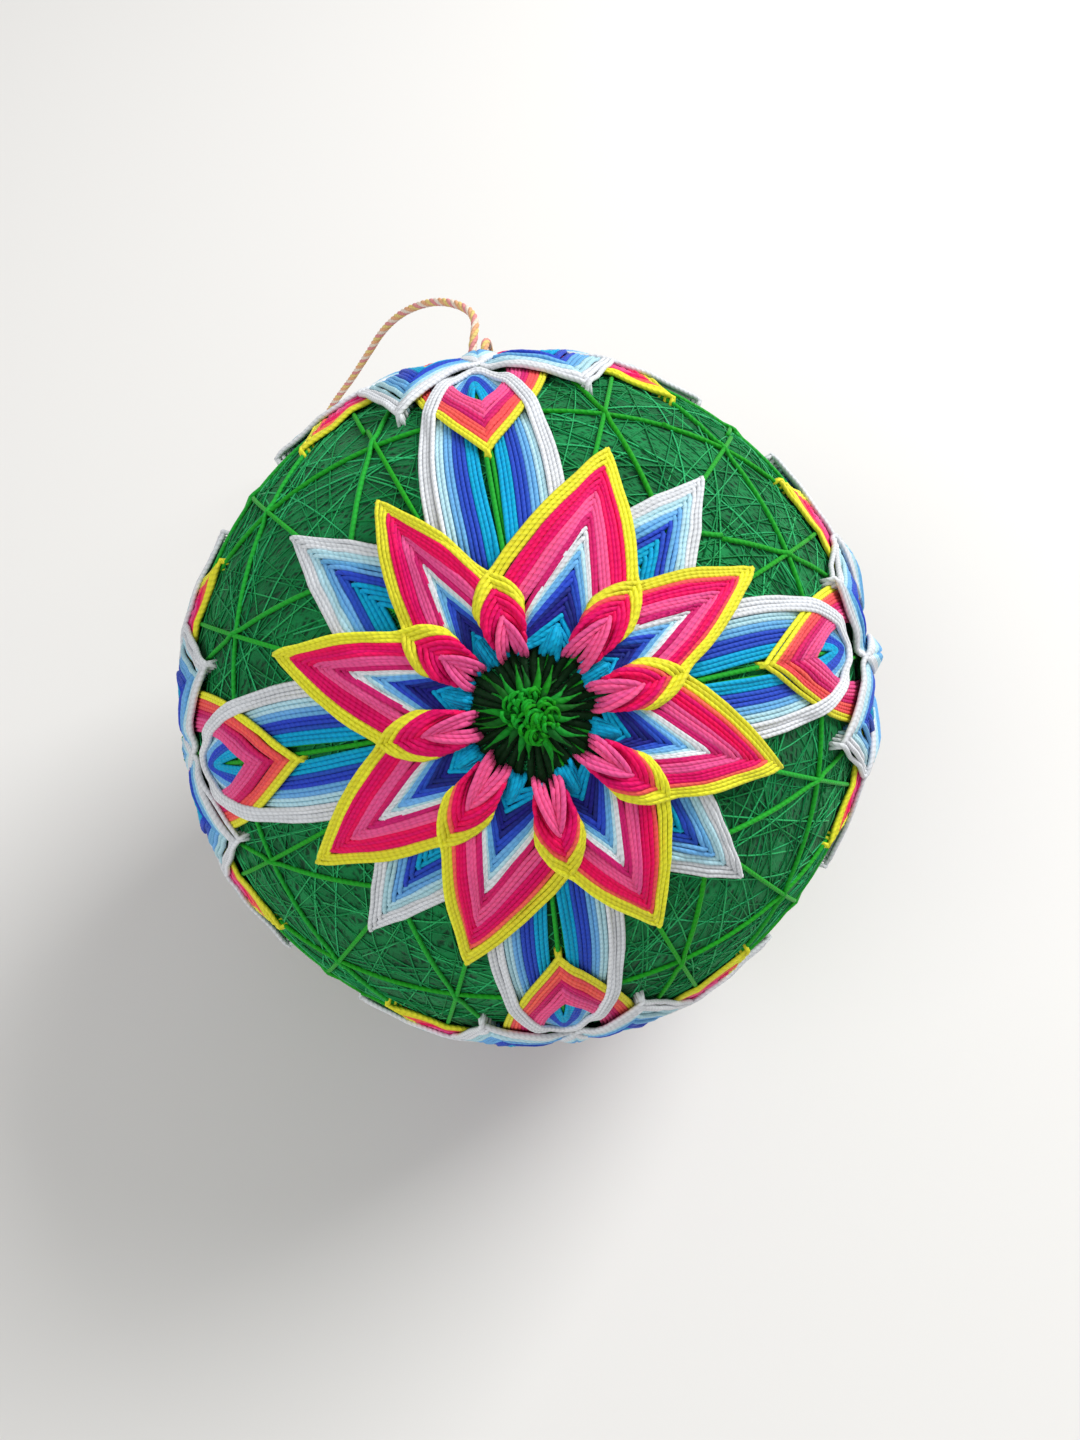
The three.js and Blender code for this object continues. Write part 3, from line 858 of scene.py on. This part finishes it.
def add_spikes(bundle, pole):
    for k in range(SPIKES):
        azimuth = k * 360 / SPIKES + jitter(4.0)
        reach = 6.3 + jitter(0.7)
        keys = [polar(1.8, azimuth + jitter(9)), polar(reach * 0.6, azimuth + jitter(4)),
                polar(reach, azimuth)]
        d = pole.at(curve(keys, 0.5))
        t = np.linspace(0, 1, len(d))
        h = (1 - t) ** 0.8 + 0.8 + 0.4 * np.sin(t * math.pi) + rng.random() * 0.6
        radii = 0.1 + 0.3 * np.sin(np.minimum(t + 0.25, 1) * math.pi) ** 0.9
        bundle.tube(place(d, h, 0.25), d, radii, "spike" if k % 3 == 0 else "spike_light", 6)


def add_knot(bundle, pole):
    arc = math.radians(260)
    for _ in range(CURLS):
        middle = polar(2.7 * math.sqrt(rng.random()), rng.random() * 360)
        size, turn = 0.5 + 0.5 * rng.random(), rng.random() * 2 * math.pi
        t = np.linspace(0, 1, 9) * arc + turn
        d = pole.at(middle + size * np.c_[np.cos(t), np.sin(t)])
        rise = 2.2 + 0.6 * (1 - (np.linalg.norm(middle) / 2.8) ** 2)
        h = rise + 0.5 * np.sin(np.linspace(0, math.pi * 2, 9) + turn) + rng.random() * 0.4
        bundle.tube(place(d, h, 0.2), d, 0.2, "knot")


for name, pole in POLES.items():
    bundle = Bundle()
    add_painted_shade_threads(bundle, pole)
    add_spikes(bundle, pole)
    add_knot(bundle, pole)
    piece = bundle.build(f"centre_{name}_threads")
    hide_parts(f"centre_{name}")

# The wound ball and its strands

STRANDS = 900
STRAND = 0.105             # their radius
ball = Bundle()
made = bmesh.new()
bmesh.ops.create_icosphere(made, subdivisions=6, radius=1)
directions = unit(np.array([v.co[:] for v in made.verts]))
triangles = np.array([[v.index for v in f.verts] for f in made.faces])
made.free()
ball.solid(place(directions, np.zeros(len(directions)), 0.0), triangles, "wrap")
for k in range(STRANDS):
    # An arc of 50 to 120 degrees, off the great circle round its axis, bent a little
    axis = unit(rng.normal(size=3))
    start = unit(np.cross(axis, rng.normal(size=3)))
    across = np.cross(axis, start)
    t = np.radians(np.arange(0, 50 + 70 * rng.random(), 5.5))[:, None]
    offset = math.radians(jitter(14))
    bend = np.radians(jitter(1.5)) * np.sin(t * 3 + rng.random() * 6)
    d = unit(np.cos(t) * start + np.sin(t) * across + (math.tan(offset) + bend) * axis)
    h = np.full(len(d), 0.03 + 0.16 * rng.random())
    ball.tube(place(d, h, 0.09), d, STRAND, "strand" if k % 3 else "strand_light", 3)
piece = ball.build("ball_wrap")
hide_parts("wound_ball")

# The hanging loop: four threads twisted round each other along the model's own route

LOOP_ROUTE = [
    (-7.45, 39.2, 67.8), (-7.4, 41.2, 68.8), (-7.2, 43.5, 69.3), (-7.2, 46.0, 69.1),
    (-7.9, 48.8, 68.3), (-9.4, 51.8, 66.9), (-11.4, 54.8, 65.1), (-13.9, 57.8, 62.8),
    (-16.6, 60.4, 60.1), (-19.4, 62.7, 57.0), (-22.1, 64.9, 53.3), (-24.7, 67.0, 49.0),
    (-27.2, 69.2, 44.0), (-29.9, 71.4, 38.7), (-32.7, 73.6, 33.3), (-35.7, 76.0, 27.8),
    (-38.9, 78.4, 21.9), (-42.0, 80.6, 15.7), (-44.7, 82.2, 9.6), (-46.4, 82.5, 4.7),
    (-46.6, 81.0, 1.7), (-44.8, 78.6, 0.7), (-41.0, 76.9, 0.65), (-36.0, 76.6, 0.65),
    (-30.5, 76.7, 0.65), (-25.0, 76.2, 0.65), (-20.0, 74.8, 0.7), (-15.6, 72.6, 1.4),
    (-12.0, 69.7, 3.8), (-9.5, 66.5, 8.6), (-7.8, 63.4, 15.2), (-6.8, 60.3, 23.0),
    (-6.1, 57.2, 31.5), (-5.7, 54.2, 40.5), (-5.5, 51.4, 49.5), (-5.4, 48.9, 57.5),
    (-5.5, 46.6, 63.7), (-5.6, 44.3, 67.2), (-5.75, 41.6, 68.7), (-5.85, 39.4, 67.95),
]
LOOP_DIAMETER = 1.2
LOOP_PLY = 0.31            # radius of each of its threads
LOOP_TURN = 5.2            # length of one turn of its twist
route = curve(LOOP_ROUTE, 0.55)
ahead = unit(np.gradient(route, axis=0))
sides = [unit(np.cross(ahead[0], [0, 0, 1.0]))]
for direction in ahead[1:]:
    sides.append(unit(sides[-1] - (sides[-1] @ direction) * direction))
sides = np.array(sides)
others = np.cross(ahead, sides)
run = distances(route)
loop = Bundle()
for k, colour in enumerate(("cord_yellow", "cord_pink", "cord_white", "cord_orange")):
    turn = (run / LOOP_TURN * 2 * math.pi + k * math.pi / 2)[:, None]
    out = np.cos(turn) * sides + np.sin(turn) * others
    loop.tube(route + out * (LOOP_DIAMETER / 2 - LOOP_PLY), out, LOOP_PLY, colour, 6)
piece = loop.build("hanging_loop_threads")
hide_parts("hanging_loop")

# A pale floor and soft studio light, in metres

FLOOR = 3                  # half of its side
floor_mesh = bpy.data.meshes.new("floor")
floor_mesh.from_pydata([(-FLOOR, -FLOOR, 0), (FLOOR, -FLOOR, 0), (FLOOR, FLOOR, 0),
                        (-FLOOR, FLOOR, 0)], [], [(0, 1, 2, 3)])
floor = bpy.data.objects.new("floor", floor_mesh)
bpy.context.scene.collection.objects.link(floor)
floor_paint = Paint("floor", Base_Color=(0.72, 0.71, 0.69, 1), Roughness=0.9)
floor_mesh.materials.append(floor_paint.material)


MIDDLE = (0, 0, 0.044)     # of the ball


def area(name, location, size, power):
    """A square lamp that faces the middle of the ball."""
    data = bpy.data.lights.new(name, "AREA")
    data.size = size
    data.energy = power
    light = bpy.data.objects.new(name, data)
    light.location = location
    towards = Vector(np.array(MIDDLE) - np.array(location))
    light.rotation_euler = towards.to_track_quat("-Z", "Y").to_euler()
    bpy.context.scene.collection.objects.link(light)


area("key", (0.42, 0.32, 0.50), 0.35, 5.3)
area("fill", (-0.6, -0.5, 0.7), 0.8, 4.4)
world = bpy.data.worlds.new("studio")
world.use_nodes = True
background = world.node_tree.nodes["Background"]
background.inputs["Color"].default_value = (1, 1, 1, 1)
background.inputs["Strength"].default_value = 0.42
bpy.context.scene.world = world
bpy.context.scene.view_settings.view_transform = "Standard"
